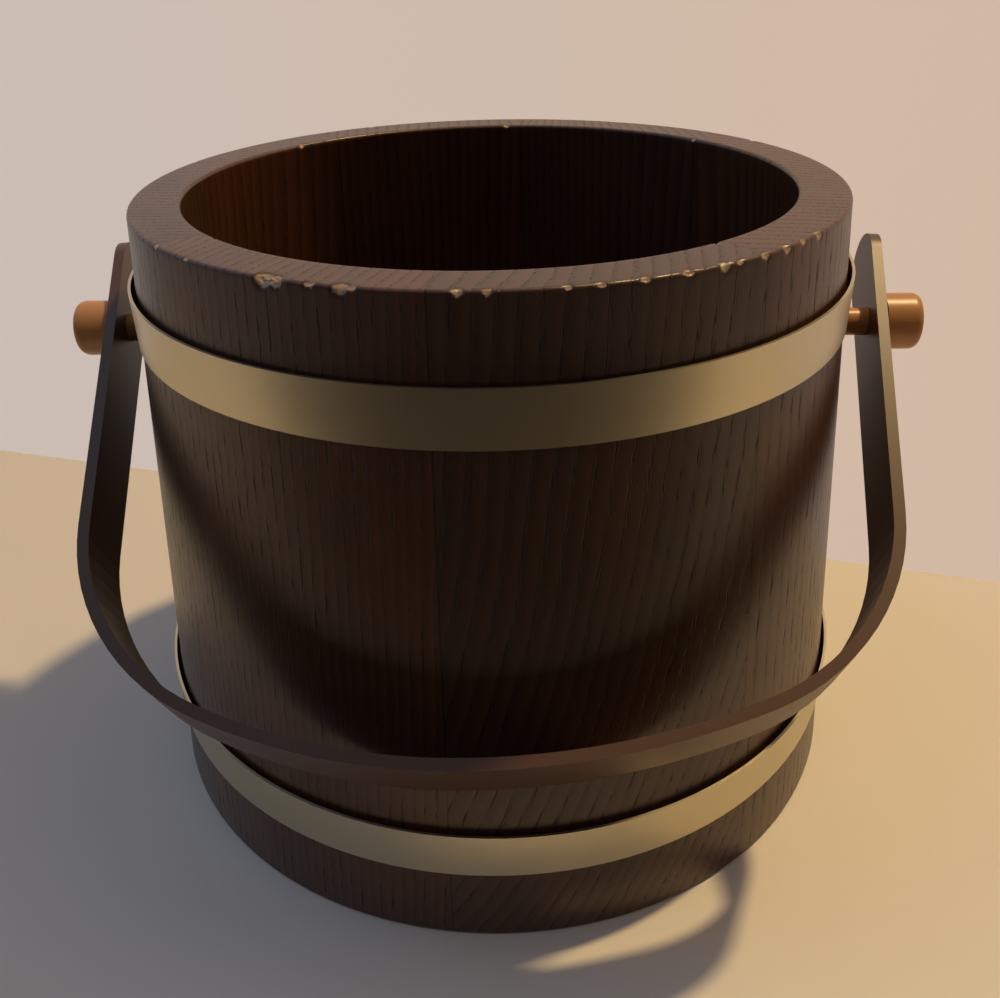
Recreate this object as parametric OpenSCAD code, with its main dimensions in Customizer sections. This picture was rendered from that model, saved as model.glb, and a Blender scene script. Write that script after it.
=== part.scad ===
// A coopered sugar firkin: eight tapered staves round a three-board bottom, two brass hoops,
// and a steam-bent bail that swings on two turned pegs.
// The pegs lie along X, the front is -Y, and the origin is the middle of the ring it stands on.

/* [Staves] */
// Height of the firkin
bucket_h = 164; // [120:1:220]
// Outer radius at the rim
rim_r = 90; // [75:0.5:110]
// Outer radius at the foot
base_r = 103.5; // [95:0.5:125]
// Thickness of the wall, measured level
stave_t = 12.5; // [9:0.5:16]
// Number of staves
stave_count = 8; // [7, 8, 9]
// How far the front joint lies to the left of the middle, in degrees
joint_turn = 5.2; // [1:0.1:9]
// Rounding of the rim's and the foot's edges
arris_r = 0.9; // [0.4:0.1:2]

/* [Bottom] */
// Height of the bottom's underside above the table
bottom_z = 12; // [8:0.5:18]
// Thickness of the bottom boards
bottom_t = 9.5; // [7:0.5:12]
// Width of the middle board
middle_board_w = 66; // [40:1:90]
// Depth of the groove that the bottom's edge sits in
croze_d = 4; // [2:0.5:6]
// Width of that groove
croze_w = 5; // [3:0.5:6]
// How far in the bottom's edge is bevelled
bevel_w = 7; // [3:0.5:12]

/* [Hoops] */
// Width of both hoops
hoop_w = 13.2; // [9:0.1:18]
// Thickness of the brass strip
hoop_t = 0.7; // [0.5:0.1:1.2]
// Distance from the rim down to the upper hoop
upper_hoop_drop = 17.8; // [12:0.1:24]
// Height of the lower hoop's lower edge
lower_hoop_z = 21.2; // [15:0.1:30]
// Length of the lap where a hoop's ends are riveted at the back
lap_l = 24; // [20:1:34]
// Radius of a rivet's head
rivet_head_r = 2.3; // [1.6:0.1:3]
// Height of a rivet's head
rivet_head_h = 1; // [0.6:0.1:1.4]
// Radius of a rivet's shank
rivet_r = 1.1; // [0.8:0.1:1.5]
// Distance from a rivet's middle to the end of the lap
rivet_margin = 6; // [4:0.5:6.5]

/* [Bail] */
// Width of the bent strip
bail_w = 19.8; // [14:0.2:24]
// Thickness of the bent strip
bail_t = 2.8; // [2:0.1:4]
// Gap between an arm and the wall, at the pegs
arm_gap = 9.8; // [8:0.1:16]
// How far each arm leans in below the pegs, in degrees
arm_lean = 5.7; // [3:0.1:8]
// How much further the crossbar reaches from the pegs than the wall does
bail_over = 31.2; // [26:0.2:45]
// Radius of the two corner bends
corner_r = 56; // [40:1:70]
// Radius of the crossbar's left half
bar_left_r = 148; // [130:1:200]
// Radius of the crossbar's right half
bar_right_r = 188; // [150:1:240]
// How far the crossbar's furthest point lies to the left of the middle
bar_shift = 7; // [0:0.5:12]
// Length of the rounded arm ends above the pegs
arm_end = 28.5; // [20:0.5:34]

/* [Pegs] */
// Distance from the upper hoop down to the pegs' middle
peg_drop = 8.8; // [8.5:0.1:16]
// Radius of a peg's shank
shank_r = 3.75; // [3:0.05:5]
// Wood left in the stave behind a peg
peg_back = 3.5; // [2:0.5:5]
// Radius of a peg's head
head_r = 7.6; // [6:0.1:9]
// Length of a peg's head
head_l = 10.4; // [7:0.1:14]
// Rounding of the head's outer edge
head_round = 2.6; // [1:0.1:4]
// Radius of the slight dome on the head's end
head_dome_r = 26; // [18:1:60]

/* [Fits] */
// Gap round pieces that are pressed or glued into place
fit_gap = 0.05; // [0.02:0.01:0.1]
// Running clearance of the bail's holes round the shanks
run_gap = 0.1; // [0.05:0.01:0.1]
// Gap between the bail and what it turns beside or rests on
rest_gap = 0.3; // [0.2:0.05:0.6]

/* [Hidden] */
$fn = 96;

wood_colour = [0.27, 0.16, 0.10];
bottom_colour = [0.24, 0.15, 0.10];
brass_colour = [0.62, 0.56, 0.40];
bail_colour = [0.24, 0.14, 0.08];
peg_colour = [0.72, 0.42, 0.17];
// Steps in the rounding of an edge, and in each bend of the bail
arris_steps = 4;
bend_steps = 14;
// How far a cut runs past the face that it opens
past = 1;

// The wall: a straight taper, wider at the foot
taper = atan((base_r - rim_r) / bucket_h);
stave_angle = 360 / stave_count;
function wall_r(z) = base_r - (base_r - rim_r) * z / bucket_h;
function bore_r(z) = wall_r(z) - stave_t;

// The bottom's tongue lies in the middle of its thickness, and the groove is cut for it
croze_z = bottom_z + (bottom_t - croze_w) / 2;
croze_r = bore_r(croze_z) + croze_d;
tongue_r = croze_r - fit_gap;
shoulder_r = bore_r(bottom_z + bottom_t) - fit_gap;

function rounded(x, z, from, to) = [
    for (i = [0:arris_steps])
        let (a = from + (to - from) * i / arris_steps)
        [x + arris_r * cos(a), z + arris_r * sin(a)]
];
narrow = arris_r * (1 - sin(taper)) / cos(taper);
wide = arris_r * (1 + sin(taper)) / cos(taper);

// What hangs on the wall: the upper hoop below the rim, the pegs below that, and the bail round them
upper_hoop_z = bucket_h - upper_hoop_drop - hoop_w;
peg_z = upper_hoop_z - peg_drop;
peg_depth = stave_t - peg_back;
arm_side = bail_t / 2 / cos(arm_lean);
bail_half = wall_r(peg_z) + arm_gap + arm_side;
bail_l = wall_r(peg_z) + bail_over;
rivet_pitch = lap_l - 2 * rivet_margin;

wall_profile = concat(
    rounded(base_r - wide, arris_r, -90, taper),
    rounded(rim_r - narrow, bucket_h - arris_r, taper, 90),
    rounded(rim_r - stave_t + wide, bucket_h - arris_r, 90, 180 + taper),
    [
        [bore_r(croze_z + croze_w), croze_z + croze_w], [croze_r, croze_z + croze_w],
        [croze_r, croze_z], [bore_r(croze_z), croze_z]
    ],
    rounded(base_r - stave_t + narrow, arris_r, 180 + taper, 270)
);

module peg_holes() {
    for (side = [-1, 1])
        translate([side * (wall_r(peg_z) - peg_depth), 0, peg_z])
            rotate([0, side * 90, 0])
                cylinder(r = shank_r + fit_gap, h = peg_depth + past);
}

// Stave 1 starts at the front joint, and the rest follow to the right
module stave(i) {
    color(wood_colour)
        difference() {
            rotate([0, 0, -90 - joint_turn + (i - 1) * stave_angle])
                rotate_extrude(angle = stave_angle)
                    polygon(wall_profile);
            peg_holes();
        }
}

// A turned disc with a bevelled edge, and the slice of it that one board fills
module bottom_disc() {
    rotate_extrude()
        polygon([
            [0, bottom_z], [shoulder_r - bevel_w, bottom_z], [shoulder_r, croze_z], [tongue_r, croze_z],
            [tongue_r, croze_z + croze_w], [shoulder_r, croze_z + croze_w],
            [shoulder_r - bevel_w, bottom_z + bottom_t], [0, bottom_z + bottom_t]
        ]);
}

module bottom_board(from, to) {
    color(bottom_colour)
        intersection() {
            bottom_disc();
            translate([-base_r, from, 0]) cube([2 * base_r, to - from, bucket_h]);
        }
}

// A hoop is a straight strip, so it grips the taper at its lower edge and stands off at its upper one
function hoop_r(z) = wall_r(z) + fit_gap;
function lap_angle(z) = lap_l / hoop_r(z) * 180 / PI;

module rivet_places(z) {
    for (side = [-1, 1])
        rotate([0, 0, 90 + side * rivet_pitch / 2 / hoop_r(z) * 180 / PI])
            translate([hoop_r(z), 0, z + hoop_w / 2])
                rotate([0, 90, 0])
                    children();
}

module hoop(z) {
    color(brass_colour)
        difference() {
            union() {
                rotate_extrude()
                    translate([hoop_r(z), z]) square([hoop_t, hoop_w]);
                rotate([0, 0, 90 - lap_angle(z) / 2])
                    rotate_extrude(angle = lap_angle(z))
                        translate([hoop_r(z) + hoop_t / 2, z]) square([3 / 2 * hoop_t, hoop_w]);
            }
            rivet_places(z)
                translate([0, 0, -past]) cylinder(r = rivet_r + fit_gap, h = 2 * hoop_t + 2 * past);
        }
}

// The head's dome is a slice off a ball, and a flat behind it seats on the round lap
dome_r = (pow(rivet_head_r, 2) + pow(rivet_head_h, 2)) / (2 * rivet_head_h);
module hoop_rivets(z) {
    color(brass_colour)
        rivet_places(z) {
            cylinder(r = rivet_r, h = 2 * hoop_t + fit_gap);
            translate([0, 0, 2 * hoop_t + fit_gap])
                intersection() {
                    translate([0, 0, rivet_head_h - dome_r]) sphere(r = dome_r);
                    cylinder(r = rivet_head_r, h = rivet_head_h);
                }
        }
}

// The bail's line, in its own plane: x across, and the second number down from the pegs.
// Each half is a straight arm, a corner bend that starts where the arm's line ends, and an arc of the bar.
arm_out = [cos(arm_lean), sin(arm_lean)];
arm_down = [-sin(arm_lean), cos(arm_lean)];
function bar_r(side) = side > 0 ? bar_right_r : bar_left_r;
function bar_centre(side) = [-side * bar_shift, bail_l - bar_r(side)];
function to_corner(side) = [bail_half, 0] - corner_r * arm_out - bar_centre(side);
function arm_l(side) =
    let (q = to_corner(side), b = q * arm_down)
    -b + sqrt(b * b - q * q + pow(bar_r(side) - corner_r, 2));
function corner_centre(side) = [bail_half, 0] - corner_r * arm_out + arm_l(side) * arm_down;
function corner_end(side) =
    let (d = corner_centre(side) - bar_centre(side))
    atan2(d[1], d[0]);

// How far the bar's inner back edge is from the wall when the bail hangs at this angle from upright
function bar_gap(side, turn, tilt) =
    let (
        r = bar_r(side) - bail_t / 2,
        x = bar_centre(side)[0] + r * sin(turn),
        down = bar_centre(side)[1] + r * cos(turn),
        y = down * sin(tilt) - bail_w / 2 * cos(tilt),
        z = peg_z - down * cos(tilt) - bail_w / 2 * sin(tilt)
    )
    norm([x, y]) - wall_r(z);
function least_gap(tilt) = min([for (side = [-1, 1], turn = [0:1:18]) bar_gap(side, turn, tilt)]);
// The bail rests where that gap comes down to rest_gap, found by halving
function rest_tilt(low, high, steps) =
    steps == 0 ? (low + high) / 2 :
    let (mid = (low + high) / 2)
    least_gap(mid) > rest_gap ? rest_tilt(low, mid, steps - 1) : rest_tilt(mid, high, steps - 1);
bail_tilt = rest_tilt(20, 85, 24);
echo(bail_tilt = bail_tilt, swing = 360 - 2 * bail_tilt);

// Half of the strip's outline, moved out from its middle line: the arm's end, the corner and the bar.
// The two halves' corners and bars are arcs that meet in line, so the strip has no kink.
function arc(centre, r, from, to) = [
    for (i = [1:bend_steps])
        let (a = from + (to - from) * i / bend_steps)
        centre + r * [cos(a), sin(a)]
];
function half_outline(side, out) =
    let (end = corner_end(side))
    [
        for (p = concat(
            [
                [bail_half, 0] - (arm_end + past) * arm_down + out * arm_out,
                corner_centre(side) + (corner_r + out) * arm_out
            ],
            arc(corner_centre(side), corner_r + out, arm_lean, end),
            arc(bar_centre(side), bar_r(side) + out, end, 90)
        )) [side * p[0], -p[1]]
    ];
function reversed(list) = [for (i = [len(list) - 1:-1:0]) list[i]];
function without_last(list) = [for (i = [0:len(list) - 2]) list[i]];
function outline(out) = concat(half_outline(1, out), reversed(without_last(half_outline(-1, out))));

// What is cut away to round one arm's end
module end_corners(side) {
    translate([side * bail_half, 0, 0])
        rotate([0, 0, -side * arm_lean])
            translate([0, arm_end - bail_w / 2, 0])
                rotate([0, 90, 0])
                    difference() {
                        translate([-bail_w, 0, -bail_w / 2]) cube([2 * bail_w, bail_w, bail_w]);
                        cylinder(r = bail_w / 2, h = 2 * bail_w, center = true);
                    }
}

module bail() {
    color(bail_colour)
        translate([0, 0, peg_z])
            rotate([90 - bail_tilt, 0, 0])
                difference() {
                    linear_extrude(height = bail_w, center = true)
                        polygon(concat(outline(bail_t / 2), reversed(outline(-bail_t / 2))));
                    end_corners(-1);
                    end_corners(1);
                    rotate([0, 90, 0])
                        cylinder(r = shank_r + run_gap, h = 3 * bail_half, center = true);
                }
}

// The head stands clear of the arm, which leans away from it over the head's whole height
shank_start = wall_r(peg_z) - peg_depth + fit_gap;
head_start = bail_half + arm_side + head_r * tan(arm_lean) + rest_gap;
module peg(side) {
    color(peg_colour)
        translate([0, 0, peg_z])
            rotate([0, side * 90, 0]) {
                translate([0, 0, shank_start])
                    cylinder(r = shank_r, h = head_start - shank_start + past);
                intersection() {
                    rotate_extrude()
                        translate([0, head_start]) {
                            square([head_r, head_l - head_round]);
                            square([head_r - head_round, head_l]);
                            translate([head_r - head_round, head_l - head_round]) circle(r = head_round);
                        }
                    translate([0, 0, head_start + head_l - head_dome_r]) sphere(r = head_dome_r);
                }
            }
}

for (i = [1:stave_count])
    stave(i);
bottom_board(-base_r, -middle_board_w / 2);  // bottom_board_front
bottom_board(-middle_board_w / 2, middle_board_w / 2);  // bottom_board_middle
bottom_board(middle_board_w / 2, base_r);  // bottom_board_back
hoop(upper_hoop_z);  // upper_hoop
hoop(lower_hoop_z);  // lower_hoop
hoop_rivets(upper_hoop_z);  // upper_hoop_rivets
hoop_rivets(lower_hoop_z);  // lower_hoop_rivets
peg(-1);  // peg_left
peg(1);  // peg_right
bail();
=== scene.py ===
# %% [markdown]
# # A coopered sugar firkin
#
# The firkin is eight tapered staves held by two brass hoops, with a bent wood bail on two pegs.
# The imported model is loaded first: it fixes where every piece is, and nothing below moves it.

# %% Load the frame
import math

import bmesh
import bpy
from mathutils import Matrix, Vector


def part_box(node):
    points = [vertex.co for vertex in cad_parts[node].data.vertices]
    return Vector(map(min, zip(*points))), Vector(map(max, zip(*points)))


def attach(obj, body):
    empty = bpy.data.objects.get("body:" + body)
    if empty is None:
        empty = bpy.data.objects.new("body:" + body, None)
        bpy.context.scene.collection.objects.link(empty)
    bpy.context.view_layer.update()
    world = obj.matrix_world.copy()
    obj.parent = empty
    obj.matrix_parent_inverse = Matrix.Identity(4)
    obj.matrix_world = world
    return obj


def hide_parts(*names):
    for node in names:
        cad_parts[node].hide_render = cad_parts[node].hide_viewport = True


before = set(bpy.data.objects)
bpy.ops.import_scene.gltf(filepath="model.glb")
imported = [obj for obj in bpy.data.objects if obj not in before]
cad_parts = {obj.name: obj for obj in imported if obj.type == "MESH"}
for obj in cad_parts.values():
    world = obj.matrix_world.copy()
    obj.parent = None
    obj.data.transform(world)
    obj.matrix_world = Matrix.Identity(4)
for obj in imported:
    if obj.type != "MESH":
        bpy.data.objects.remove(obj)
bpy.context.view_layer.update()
MM = 0.001

# %% [markdown]
# ## The sizes that the pieces share
#
# A cooper works from a few sizes: the height, the two radii and the stave's thickness. They are
# the model's own, in millimetres. The height and the place of the pegs are read off the frame.

# %% Sizes
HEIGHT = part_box("stave_1")[1].z / MM
RIM_R = 90.0
FOOT_R = 103.5
WALL = 12.5
STAVES = 8
JOINT_TURN = 5.2
ARRIS = 0.9
PEG_AXIS_Z = sum(corner.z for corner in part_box("peg_right")) / 2 / MM


def wall_r(z):
    """The outer radius at a height."""
    return FOOT_R - (FOOT_R - RIM_R) * z / HEIGHT


print("height", round(HEIGHT, 2), "pegs at", round(PEG_AXIS_Z, 2))
print("outer radius at the pegs", round(wall_r(PEG_AXIS_Z), 2))

# %% [markdown]
# ## The camera
#
# It stands where the photograph was taken from: a hand's height over the rim, a third of a metre
# away, looking down thirty degrees and turned a touch. The picture is square, so the sensor's
# width and the lens's length give its angle of view.

# %% Camera
PICTURE_W = 1000
FOCAL_PX = 975.3
CAMERA_AT = Vector((11.7, -260.4, 220.7)) * MM
CAMERA_TURN = math.radians(-2.39)
CAMERA_DIP = math.radians(-30.47)
CAMERA_ROLL = math.radians(-1.34)

ahead = Vector((
    math.sin(CAMERA_TURN) * math.cos(CAMERA_DIP),
    math.cos(CAMERA_TURN) * math.cos(CAMERA_DIP),
    math.sin(CAMERA_DIP),
))
level_right = ahead.cross(Vector((0, 0, 1))).normalized()
level_up = level_right.cross(ahead)
right = level_right * math.cos(CAMERA_ROLL) + level_up * math.sin(CAMERA_ROLL)
up = right.cross(ahead)
camera_data = bpy.data.cameras.new("camera")
camera_data.sensor_width = 36
camera_data.lens = camera_data.sensor_width * FOCAL_PX / PICTURE_W
camera_data.clip_start = 0.01
camera = bpy.data.objects.new("camera", camera_data)
camera.matrix_world = Matrix((right, up, -ahead)).transposed().to_4x4()
camera.location = CAMERA_AT
bpy.context.scene.collection.objects.link(camera)
bpy.context.scene.camera = camera
print("camera", [round(v / MM) for v in camera.location], "lens", round(camera_data.lens, 2))

# %% [markdown]
# ## A small language for node trees
#
# Materials and geometry trees are both graphs of nodes. Written link by link they can't be read,
# so one class makes nodes and one wraps an output socket, on which arithmetic adds Math nodes.

# %% Node helpers
class Wire:
    """An output socket. Arithmetic on it adds Math nodes to its tree."""

    def __init__(self, tree, socket):
        self.tree = tree
        self.socket = socket

    def math(self, operation, *others):
        return self.tree.add("ShaderNodeMath", {"operation": operation}, [self, *others])

    def __add__(self, other):
        return self.math("ADD", other)

    def __sub__(self, other):
        return self.math("SUBTRACT", other)

    def __mul__(self, other):
        return self.math("MULTIPLY", other)

    def __truediv__(self, other):
        return self.math("DIVIDE", other)

    def __rsub__(self, other):
        return self.tree.add("ShaderNodeMath", {"operation": "SUBTRACT"}, [other, self])

    def __rtruediv__(self, other):
        return self.tree.add("ShaderNodeMath", {"operation": "DIVIDE"}, [other, self])

    __radd__ = __add__
    __rmul__ = __mul__

    def __abs__(self):
        return self.math("ABSOLUTE")

    def out(self, name):
        """Another output of the same node."""
        return Wire(self.tree, self.socket.node.outputs[name])


class Tree:
    """A node tree, and the one way in which nodes are added to it."""

    def __init__(self, node_tree):
        self.nodes = node_tree.nodes
        self.links = node_tree.links

    def add(self, kind, settings=None, sockets=None, out=0):
        node = self.nodes.new(kind)
        for name, value in (settings or {}).items():
            setattr(node, name, value)
        pairs = sockets.items() if isinstance(sockets, dict) else enumerate(sockets or [])
        for key, value in pairs:
            if isinstance(value, Wire):
                self.links.new(value.socket, node.inputs[key])
            else:
                node.inputs[key].default_value = value
        return Wire(self, node.outputs[out] if node.outputs else None)

    def vector(self, x, y, z):
        return self.add("ShaderNodeCombineXYZ", None, [x, y, z])

    def parts(self, vector):
        split = self.add("ShaderNodeSeparateXYZ", None, [vector])
        return split, split.out("Y"), split.out("Z")

    def rise(self, value, low, high, bottom=0.0, top=1.0):
        """A smooth step from bottom to top as value goes from low to high."""
        settings = {"interpolation_type": "SMOOTHSTEP"}
        return self.add("ShaderNodeMapRange", settings, [value, low, high, bottom, top])

    def noise(self, vector, scale=1.0, detail=2.0, roughness=0.5):
        sockets = {"Vector": vector, "Scale": scale, "Detail": detail, "Roughness": roughness}
        return self.add("ShaderNodeTexNoise", None, sockets)

    def mix(self, share, a, b):
        return self.add("ShaderNodeMix", {"data_type": "RGBA"}, {0: share, 6: a, 7: b}, out=2)


class Finish(Tree):
    """A material: a Principled shader with a tree of nodes before it."""

    def __init__(self, name):
        self.material = bpy.data.materials.new(name)
        self.material.use_nodes = True
        self.material.node_tree.nodes.clear()
        super().__init__(self.material.node_tree)
        place = self.add("ShaderNodeTexCoord", out="Object")
        sockets = {0: place, "Scale": 1 / MM}
        self.place = self.add("ShaderNodeVectorMath", {"operation": "SCALE"}, sockets)

    def shade(self, colour, roughness, bump=None, depth=0.1, metallic=0.0):
        """bump is a height from 0 to 1, and depth what 1 stands for in millimetres."""
        sockets = {"Base Color": colour, "Roughness": roughness, "Metallic": metallic}
        if bump is not None:
            relief = {"Distance": depth * MM, "Height": bump}
            sockets["Normal"] = self.add("ShaderNodeBump", None, relief)
        shader = self.add("ShaderNodeBsdfPrincipled", None, sockets)
        self.add("ShaderNodeOutputMaterial", None, {"Surface": shader})
        return self.material


def colour(red, green, blue):
    return (red, green, blue, 1.0)


print("helpers ready")

# %% [markdown]
# ## Table, wall and light
#
# A pale table ends a hand's width behind the firkin, and a pale wall stands further back. A small
# warm lamp hangs high over the right shoulder, and the room is cool on the left, warm on the right
# and dark in front. The lacquer mirrors all of it, so a dark card lies on the table in front, out
# of the picture, where the photographer stood.

# %% Table and wall
EDGE_LEFT = Vector((-255.1, 163.6)) * MM
EDGE_RIGHT = Vector((189.6, 50.8)) * MM
TABLE_REACH = 2.0
WALL_BACK = 0.60
WALL_TOP = 2.0
WALL_FOOT = -0.8
CARD_NEAR = -0.20
CARD_FAR = -1.2
CARD_HALF = 0.5
TABLE_TINT = (0.84, 0.79, 0.72)
TABLE_MOTTLE = 0.985
# The wall's two tints are its pale paint with painted light on it: the cool room on the left, the warm
# lamp on the right.
WALL_PAINT_IN_COOL_LIGHT = colour(0.60, 0.51, 0.46)
WALL_PAINT_IN_WARM_LAMPLIGHT = colour(0.645, 0.485, 0.37)
CARD_TINT = colour(0.012, 0.010, 0.009)


def flat_stage(name, corners, material, camera_sees=True):
    mesh = bpy.data.meshes.new(name)
    mesh.from_pydata(corners, [], [tuple(range(len(corners)))])
    mesh.materials.append(material)
    piece = bpy.data.objects.new(name, mesh)
    piece.visible_camera = camera_sees
    bpy.context.scene.collection.objects.link(piece)


def table_finish():
    finish = Finish("table")
    mottle = finish.rise(finish.noise(finish.place, 0.02, 3.0), 0.3, 0.7)
    darker = colour(*[c * TABLE_MOTTLE for c in TABLE_TINT])
    return finish.shade(finish.mix(mottle, darker, colour(*TABLE_TINT)), 0.75)


def wall_finish():
    """A painted wall that the camera and the lacquer see at its own level, whatever the lamps do.
    Its tint carries painted light: cool on the left from the room, warm on the right from the lamp.
    """
    finish = Finish("wall")
    east, _, _ = finish.parts(finish.place)
    # Painted light: the tint runs from the cool room light on the left to the warm lamplight on the
    # right.
    wall_paint_and_lamplight = finish.mix(finish.rise(east, -700, 600), WALL_PAINT_IN_COOL_LIGHT, WALL_PAINT_IN_WARM_LAMPLIGHT)
    glow = finish.add("ShaderNodeEmission", None, {"Color": wall_paint_and_lamplight, "Strength": 1.0})
    plain = finish.add("ShaderNodeBsdfDiffuse", None, {"Color": wall_paint_and_lamplight})
    ray = finish.add("ShaderNodeLightPath", out="Is Camera Ray")
    seen = ray.math("MAXIMUM", ray.out("Is Glossy Ray"))
    surface = finish.add("ShaderNodeMixShader", None, {0: seen, 1: plain, 2: glow})
    finish.add("ShaderNodeOutputMaterial", None, {"Surface": surface})
    return finish.material


def card_finish():
    return Finish("card").shade(CARD_TINT, 0.9)


along = (EDGE_RIGHT - EDGE_LEFT).normalized()
back = Vector((-along.y, along.x))
edge_from, edge_to = EDGE_LEFT - along * TABLE_REACH, EDGE_RIGHT + along * TABLE_REACH
wall_from, wall_to = edge_from + back * WALL_BACK, edge_to + back * WALL_BACK
front_from, front_to = edge_from - back * TABLE_REACH, edge_to - back * TABLE_REACH
flat_stage(
    "table_top",
    [(*front_from, 0), (*front_to, 0), (*edge_to, 0), (*edge_from, 0)],
    table_finish(),
)
flat_stage(
    "backdrop",
    [(*wall_from, WALL_FOOT), (*wall_to, WALL_FOOT), (*wall_to, WALL_TOP), (*wall_from, WALL_TOP)],
    wall_finish(),
)
flat_stage(
    "dark_card",
    [
        (-CARD_HALF, CARD_FAR, MM),
        (CARD_HALF, CARD_FAR, MM),
        (CARD_HALF, CARD_NEAR, MM),
        (-CARD_HALF, CARD_NEAR, MM),
    ],
    card_finish(),
    camera_sees=False,
)
print("table edge", [round(v / MM) for v in (*EDGE_LEFT, *EDGE_RIGHT)])

# %% Lights
LAMP_TOWARDS = Vector((0.40, 0.25, 1.0)).normalized()
LAMP_FAR = 2.0
LAMP_WIDE = 0.11
LAMP_WATTS = 23.0
LAMP_TINT = (1.0, 0.71, 0.34)
ROOM_LEFT = colour(0.50, 0.62, 0.85)
ROOM_RIGHT = colour(0.62, 0.47, 0.34)
ROOM_LEVEL = 0.85

lamp_data = bpy.data.lights.new("warm_lamp", "AREA")
lamp_data.shape = "DISK"
lamp_data.size = LAMP_WIDE
lamp_data.energy = LAMP_WATTS
lamp_data.color = LAMP_TINT
lamp = bpy.data.objects.new("warm_lamp", lamp_data)
lamp.location = LAMP_TOWARDS * LAMP_FAR
lamp.rotation_euler = (-LAMP_TOWARDS).to_track_quat("-Z", "Y").to_euler()
bpy.context.scene.collection.objects.link(lamp)


def room_light():
    """The room by direction: cool left, warm right, dark in front and below."""
    world = bpy.data.worlds.new("room")
    world.use_nodes = True
    world.node_tree.nodes.clear()
    room = Tree(world.node_tree)
    east, north, height = room.parts(room.add("ShaderNodeTexCoord", out="Generated"))
    sides = room.mix(room.rise(east, -0.6, 0.7), ROOM_LEFT, ROOM_RIGHT)
    level = room.rise(north, -0.8, 0.3, 0.10, 1.0) * room.rise(height, -0.1, 0.5, 0.35, 1.0)
    sky = room.add("ShaderNodeBackground", None, {"Color": sides, "Strength": level * ROOM_LEVEL})
    room.add("ShaderNodeOutputWorld", None, {"Surface": sky})
    return world


bpy.context.scene.world = room_light()
bpy.context.scene.view_settings.view_transform = "Standard"
print("lamp at", [round(v, 2) for v in lamp.location])

# %% [markdown]
# ## Stained wood, quarter and flat sawn
#
# The staves are a ring-porous wood under a dark red-brown stain. Each year's ring starts with a row
# of open pores that the stain fills almost black, broken into dashes by the grain. A solid pattern
# in the board's own directions gives long dashes on the side and dots on the sawn end.

# %% Stave finish
PORE_STAIN = colour(0.009, 0.0055, 0.004)
JOINT_STAIN = colour(0.010, 0.006, 0.004)
BARE_WOOD = colour(0.42, 0.29, 0.19)
LACQUER_ROUGHNESS = 0.30
GRAIN_DEPTH = 0.06


def board_directions(finish, turn):
    """Out from the middle, across to the right and up, for a stave whose middle lies at this angle."""
    sockets = {"Vector": finish.place, "Angle": -turn}
    return finish.parts(finish.add("ShaderNodeVectorRotate", {"rotation_type": "Z_AXIS"}, sockets))


def ring_places(finish, out, across, height, ring, seed):
    """How far through the log a point is, in millimetres. Rings are flat here, and they drift."""
    drop = 1 - height / HEIGHT
    drift = ring["lean"] * height - ring["swing"] * HEIGHT / 3 * (drop * drop * drop)
    slow = finish.noise(finish.vector(across * 0.03, out * 0.03, height * 0.008 + seed), 1.0, 2.0)
    flat = across * math.cos(ring["tilt"]) + out * math.sin(ring["tilt"])
    return flat + across * across * ring["bow"] - drift + slow * ring["wander"], drift


def stave_finish(number, turn, ring, tone):
    finish = Finish(f"stained_wood_{number}")
    out, across, height = board_directions(finish, turn)
    seed = 37.0 * number
    depth, drift = ring_places(finish, out, across, height, ring, seed)
    years = depth / ring["gap"] + 50
    year = years.math("FRACT")
    start = finish.rise(year, 0.0, 0.05) * finish.rise(year, 0.08, 0.42, 1.0, 0.0)
    grain = finish.vector((across - drift) * 2.1, out * 2.1, height * 0.075 + seed)
    dashes = finish.rise(finish.noise(grain, 1.0, 2.0), 0.50, 0.62)
    fine_grain = finish.vector((across - drift) * 5.5, out * 5.5, height * 0.22 + seed)
    fine = finish.noise(fine_grain, 1.0, 2.0)
    pores = (start * dashes).math("MAXIMUM", finish.rise(fine, 0.66, 0.74) * 0.45)
    cloud = finish.noise(finish.vector(across * 0.06, out * 0.06, height * 0.02 + seed), 1.0, 3.0)
    late = finish.rise(year, 0.3, 1.0) * 0.55 + finish.rise(cloud, 0.3, 0.7) * 0.45
    body = finish.mix(late, tone["dark"], tone["light"])
    body = finish.mix(finish.rise(fine, 0.3, 0.7) * 0.35, body, tone["light"])
    body = finish.mix(pores * 0.9, body, PORE_STAIN)
    edge = finish.rise(abs(across) - out * math.tan(math.pi / STAVES), -0.28, -0.05) * 0.8
    body = finish.mix(edge, body, JOINT_STAIN)
    chip = finish.add("ShaderNodeAttribute", {"attribute_name": "chip"}, out="Fac")
    body = finish.mix(finish.rise(chip, 0.08, 0.3), body, BARE_WOOD)
    roughness = LACQUER_ROUGHNESS + pores * 0.25 + fine * 0.06
    relief = fine * 0.25 - pores
    return finish.shade(body, roughness, relief, GRAIN_DEPTH)


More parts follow.
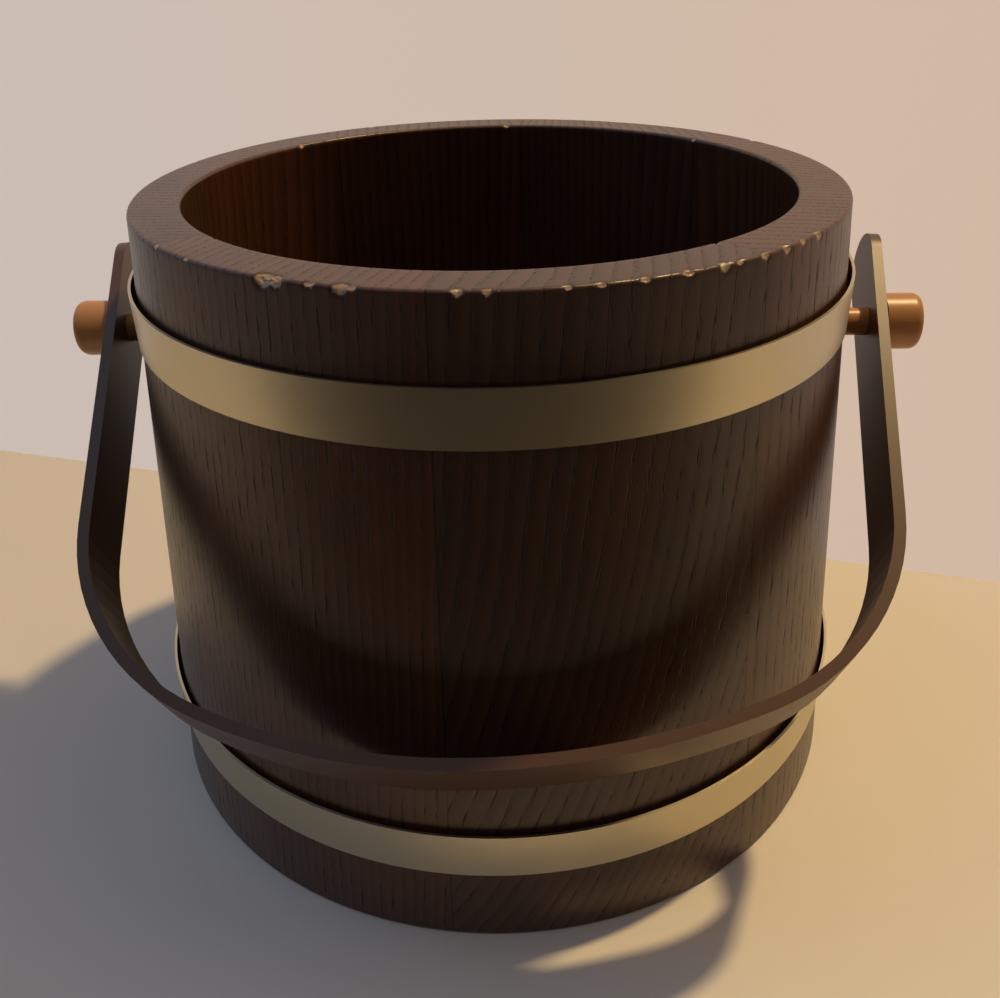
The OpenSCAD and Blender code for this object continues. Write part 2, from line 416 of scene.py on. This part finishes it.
RINGS = [
    {"tilt": 0.45, "lean": 0.04, "swing": 0.50, "bow": 0.0030, "wander": 5.0, "gap": 3.7},
    {"tilt": -0.30, "lean": 0.05, "swing": 0.04, "bow": 0.0020, "wander": 4.0, "gap": 3.1},
    {"tilt": 0.65, "lean": -0.03, "swing": -0.10, "bow": -0.0030, "wander": 6.0, "gap": 3.4},
    {"tilt": -0.55, "lean": 0.02, "swing": 0.08, "bow": 0.0030, "wander": 5.0, "gap": 2.8},
    {"tilt": 0.20, "lean": -0.02, "swing": 0.05, "bow": 0.0010, "wander": 4.0, "gap": 3.3},
    {"tilt": -0.70, "lean": 0.04, "swing": -0.12, "bow": -0.0020, "wander": 6.0, "gap": 3.6},
    {"tilt": 0.35, "lean": 0.03, "swing": 0.03, "bow": 0.0020, "wander": 4.0, "gap": 2.9},
    {"tilt": -0.15, "lean": 0.01, "swing": 0.02, "bow": -0.0010, "wander": 3.5, "gap": 2.7},
]
RED_BROWN = {"light": colour(0.120, 0.046, 0.019), "dark": colour(0.058, 0.022, 0.010)}
GREY_BROWN = {"light": colour(0.100, 0.047, 0.022), "dark": colour(0.046, 0.020, 0.011)}
stave_turns = [
    -math.pi / 2 - math.radians(JOINT_TURN) + (i + 0.5) * 2 * math.pi / STAVES for i in range(STAVES)
]
stave_finishes = [
    stave_finish(i + 1, stave_turns[i], RINGS[i], GREY_BROWN if i % 3 == 0 else RED_BROWN)
    for i in range(STAVES)
]
print("stave finishes", [m.name for m in stave_finishes])

# %% [markdown]
# ## Sweeping a section
#
# A stave is one section carried part of the way round an axis. A geometry tree does that: it
# sweeps the section along a straight line, notes how far along each point is and where in the
# section it lies, and then bends the result to its place by a formula.

# %% Sweep helpers
SEAM_MERGE = 0.002
SHARP_DEGREES = 40.0


class Shape(Tree):
    """A geometry tree with named inputs. It ends in Realize Instances and Set Material."""

    def __init__(self, name, inputs):
        self.group = bpy.data.node_groups.new(name, "GeometryNodeTree")
        self.group.interface.new_socket("Geometry", in_out="INPUT", socket_type="NodeSocketGeometry")
        self.names = {}
        for label, kind in {**inputs, "Material": "Material"}.items():
            item = self.group.interface.new_socket(
                label, in_out="INPUT", socket_type=f"NodeSocket{kind}"
            )
            self.names[label] = item.identifier
        self.group.interface.new_socket("Geometry", in_out="OUTPUT", socket_type="NodeSocketGeometry")
        super().__init__(self.group)
        self.given = self.add("NodeGroupInput")

    def value(self, label):
        return self.given.out(label)

    def store(self, geometry, name, value, kind="FLOAT"):
        settings = {"data_type": kind, "domain": "POINT"}
        sockets = {"Geometry": geometry, "Name": name, "Value": value}
        return self.add("GeometryNodeStoreNamedAttribute", settings, sockets)

    def named(self, name, kind="FLOAT"):
        return self.add("GeometryNodeInputNamedAttribute", {"data_type": kind}, {"Name": name})

    def sweep(self, steps):
        """The section at steps points of a line, with turn from 0 to 1 and section stored."""
        line = self.add("GeometryNodeCurvePrimitiveLine")
        path = self.add("GeometryNodeResampleCurve", None, {"Curve": line, "Count": steps})
        path = self.store(path, "turn", self.add("GeometryNodeSplineParameter"))
        section = self.add("GeometryNodeMeshToCurve", None, [self.value("Geometry")])
        section = self.store(section, "section", self.add("GeometryNodeInputPosition"), "FLOAT_VECTOR")
        sockets = {"Curve": path, "Profile Curve": section, "Fill Caps": True}
        return self.add("GeometryNodeCurveToMesh", None, sockets)

    def move(self, geometry, place):
        sockets = {"Geometry": geometry, "Position": place}
        return self.add("GeometryNodeSetPosition", None, sockets)

    def finish(self, geometry):
        sockets = {"Geometry": geometry, "Distance": SEAM_MERGE * MM}
        geometry = self.add("GeometryNodeMergeByDistance", None, sockets)
        geometry = self.add("GeometryNodeRealizeInstances", None, {"Geometry": geometry})
        sockets = {"Geometry": geometry, "Material": self.value("Material")}
        geometry = self.add("GeometryNodeSetMaterial", None, sockets)
        self.add("NodeGroupOutput", None, {"Geometry": geometry})
        return self


def section_mesh(name, points):
    """A closed outline in (radius, height) pairs of millimetres, as edges in metres."""
    mesh = bpy.data.meshes.new(name)
    corners = [(r * MM, z * MM, 0) for r, z in points]
    edges = [(i, (i + 1) % len(points)) for i in range(len(points))]
    mesh.from_pydata(corners, edges, [])
    return mesh


def grow(name, section, shape, values, material):
    """Runs a shape's tree on a section and keeps the result as a plain mesh object."""
    piece = bpy.data.objects.new(name, section)
    bpy.context.scene.collection.objects.link(piece)
    modifier = piece.modifiers.new("shape", "NODES")
    modifier.node_group = shape.group
    for label, value in {**values, "Material": material}.items():
        modifier[shape.names[label]] = value
    bpy.context.view_layer.update()
    depsgraph = bpy.context.evaluated_depsgraph_get()
    made = bpy.data.meshes.new_from_object(piece.evaluated_get(depsgraph))
    piece.modifiers.remove(modifier)
    piece.data = made
    made.name = name
    tidy_mesh(made)
    return piece


def tidy_mesh(mesh):
    """Closes seams, points the faces outwards and marks the sharp edges."""
    work = bmesh.new()
    work.from_mesh(mesh)
    bmesh.ops.remove_doubles(work, verts=work.verts, dist=SEAM_MERGE / 2 * MM)
    bmesh.ops.recalc_face_normals(work, faces=work.faces)
    sharp = math.radians(SHARP_DEGREES)
    for face in work.faces:
        face.smooth = True
    for edge in work.edges:
        edge.smooth = not (edge.is_manifold and edge.calc_face_angle() > sharp)
    open_edges = sum(1 for edge in work.edges if not edge.is_manifold)
    work.to_mesh(mesh)
    volume = work.calc_volume(signed=True)
    work.free()
    size = f"{len(mesh.polygons)} faces, {open_edges} open edges, {volume / MM**3:.0f} mm3"
    print(f"  {mesh.name}: {size}")


print("sweep helpers ready")

# %% [markdown]
# ## The staves
#
# All eight have one section: the tapered wall with eased edges and the groove for the bottom. The
# tree sweeps it over an eighth of a turn. Chips in the rim are given as points on its edges, and
# what lies near one is pushed into the wall.

# %% Stave section and chips
BOTTOM_Z = 12.0
BOTTOM_T = 9.5
CROZE_D = 4.0
CROZE_W = 5.0
TAPER = math.atan((FOOT_R - RIM_R) / HEIGHT)


def corner(x, z, start, end, steps=6):
    """An eased edge: an arc of radius ARRIS about (x, z), from start to end in degrees."""
    turns = [math.radians(start + (end - start) * i / steps) for i in range(steps + 1)]
    return [(x + ARRIS * math.cos(t), z + ARRIS * math.sin(t)) for t in turns]


def run(start, end, places):
    """Points between two others, at these shares of the way."""
    return [(start[0] + (end[0] - start[0]) * s, start[1] + (end[1] - start[1]) * s) for s in places]


def stave_section():
    narrow = ARRIS * (1 - math.sin(TAPER)) / math.cos(TAPER)
    wide = ARRIS * (1 + math.sin(TAPER)) / math.cos(TAPER)
    slant = math.degrees(TAPER)
    foot_out = corner(FOOT_R - wide, ARRIS, -90, slant)
    rim_out = corner(RIM_R - narrow, HEIGHT - ARRIS, slant, 90)
    rim_in = corner(RIM_R - WALL + wide, HEIGHT - ARRIS, 90, 180 + slant)
    foot_in = corner(FOOT_R - WALL + narrow, ARRIS, 180 + slant, 270)
    croze_z = BOTTOM_Z + (BOTTOM_T - CROZE_W) / 2
    croze_r = wall_r(croze_z) - WALL + CROZE_D
    groove = [
        (wall_r(croze_z + CROZE_W) - WALL, croze_z + CROZE_W),
        (croze_r, croze_z + CROZE_W),
        (croze_r, croze_z),
        (wall_r(croze_z) - WALL, croze_z),
    ]
    up_wall = [0.15, 0.3, 0.45, 0.6, 0.75, 0.88, 0.95, 0.975, 0.985, 0.99, 0.995]
    return (
        foot_out
        + run(foot_out[-1], rim_out[0], up_wall)
        + rim_out
        + run(rim_out[-1], rim_in[0], [i / 14 for i in range(1, 14)])
        + rim_in
        + run(groove[0], rim_in[-1], up_wall)[::-1]
        + groove
        + foot_in
    )


CHIPS = [
    (-116.5, "out", 2.6), (-114.8, "out", 2.2), (-109.8, "out", 1.2), (-105.6, "out", 2.0),
    (-104.2, "out", 1.1), (-91.5, "out", 1.4), (-88.0, "out", 1.2), (-78.5, "out", 0.9),
    (-74.5, "out", 1.0), (-69.0, "out", 1.1), (-63.0, "out", 1.3), (-57.5, "out", 1.6),
    (-55.0, "out", 1.0), (-50.5, "out", 1.3), (-46.0, "out", 1.4), (-42.0, "out", 1.1),
    (-37.5, "out", 1.5), (-139.5, "out", 1.0), (-131.0, "out", 0.8), (31.0, "out", 1.4),
    (118.0, "out", 1.2), (163.0, "out", 1.0), (64.0, "out", 0.9), (-137.0, "in", 1.2),
    (-127.0, "in", 0.9), (-51.5, "in", 1.5), (-66.0, "in", 0.8), (-97.0, "in", 0.8),
    (-20.0, "in", 1.0), (88.0, "in", 1.0), (40.0, "in", 0.9), (140.0, "in", 1.2),
]


def chip_points():
    """A cloud of points on the rim's edges, each with the size of its chip."""
    mesh = bpy.data.meshes.new("chip_points")
    radius = {"out": RIM_R, "in": RIM_R - WALL}
    places = []
    for degrees, side, _ in CHIPS:
        turn = math.radians(degrees)
        r = radius[side]
        places.append((r * math.cos(turn) * MM, r * math.sin(turn) * MM, HEIGHT * MM))
    mesh.from_pydata(places, [], [])
    sizes = mesh.attributes.new("size", "FLOAT", "POINT")
    sizes.data.foreach_set("value", [size * MM for _, _, size in CHIPS])
    return bpy.data.objects.new("chip_points", mesh)


chips = chip_points()
print("section points", len(stave_section()), "chips", len(CHIPS))

# %% Stave tree
STAVE_STEPS = 121
CHIP_DEPTH = 0.55
JOINT_GAP = 0.03


def stave_shape():
    inputs = {"Start": "Float", "Sweep": "Float", "Steps": "Int", "Chips": "Object", "Depth": "Float"}
    shape = Shape("stave", inputs)
    solid = shape.sweep(shape.value("Steps"))
    radius, height, _ = shape.parts(shape.named("section", "FLOAT_VECTOR"))
    turn = shape.value("Start") + shape.value("Sweep") * shape.named("turn")
    place = shape.vector(radius * turn.math("COSINE"), radius * turn.math("SINE"), height)
    solid = shape.move(solid, place)
    spots = shape.add("GeometryNodeObjectInfo", None, {"Object": shape.value("Chips")}, out="Geometry")
    here = shape.add("GeometryNodeInputPosition")
    nearest = shape.add("GeometryNodeSampleNearest", None, [spots, here])
    sockets = {"Geometry": spots, "Index": nearest, "Value": shape.add("GeometryNodeInputPosition")}
    spot = shape.add("GeometryNodeSampleIndex", {"data_type": "FLOAT_VECTOR"}, sockets)
    sockets = {"Geometry": spots, "Index": nearest, "Value": shape.named("size")}
    size = shape.add("GeometryNodeSampleIndex", {"data_type": "FLOAT"}, sockets)
    gap = shape.add("ShaderNodeVectorMath", {"operation": "DISTANCE"}, [here, spot], out="Value")
    ragged = shape.noise(here, 1200.0, 2.0)
    near = (1 - gap / size + (ragged - 0.5) * 1.1).math("MAXIMUM", 0.0).math("MINIMUM", 1.0)
    near = near * shape.rise(gap / size, 1.0, 1.5, 1.0, 0.0)
    core = (RIM_R - WALL / 2) * MM
    core_z = (HEIGHT - WALL / 2) * MM
    towards = shape.vector(core * turn.math("COSINE"), core * turn.math("SINE"), core_z)
    into = shape.add("ShaderNodeVectorMath", {"operation": "SUBTRACT"}, [towards, here])
    into = shape.add("ShaderNodeVectorMath", {"operation": "NORMALIZE"}, [into])
    sockets = {0: into, "Scale": near * size * shape.value("Depth")}
    push = shape.add("ShaderNodeVectorMath", {"operation": "SCALE"}, sockets)
    solid = shape.store(solid, "chip", near)
    solid = shape.add("GeometryNodeSetPosition", None, {"Geometry": solid, "Offset": push})
    return shape.finish(solid)


stave_tree = stave_shape()
joint_gap = JOINT_GAP / RIM_R
for i in range(STAVES):
    values = {
        "Start": stave_turns[i] - math.pi / STAVES + joint_gap / 2,
        "Sweep": 2 * math.pi / STAVES - joint_gap,
        "Steps": STAVE_STEPS,
        "Chips": chips,
        "Depth": CHIP_DEPTH,
    }
    section = section_mesh("section", stave_section())
    stave = grow(f"coopered_stave_{i + 1}", section, stave_tree, values, stave_finishes[i])
    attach(stave, "bucket")
    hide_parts(f"stave_{i + 1}")

# %% [markdown]
# ## Hoops, rivets, pegs, bail and bottom
#
# These keep the frame's own solids. Each kind has one plain colour, and brass is the one metal.

# %% Plain finishes
PLAIN = {
    "hoop": Finish("brass").shade(colour(0.62, 0.55, 0.38), 0.34, metallic=1.0),
    "bail": Finish("bail_wood").shade(colour(0.10, 0.045, 0.02), 0.4),
    "peg": Finish("peg_wood").shade(colour(0.55, 0.25, 0.08), 0.35),
    "bottom": Finish("bottom_wood").shade(colour(0.09, 0.045, 0.025), 0.5),
}
for name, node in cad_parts.items():
    for kind, material in PLAIN.items():
        if kind in name:
            node.data.materials.clear()
            node.data.materials.append(material)
            print(f"  {name}: {material.name}")
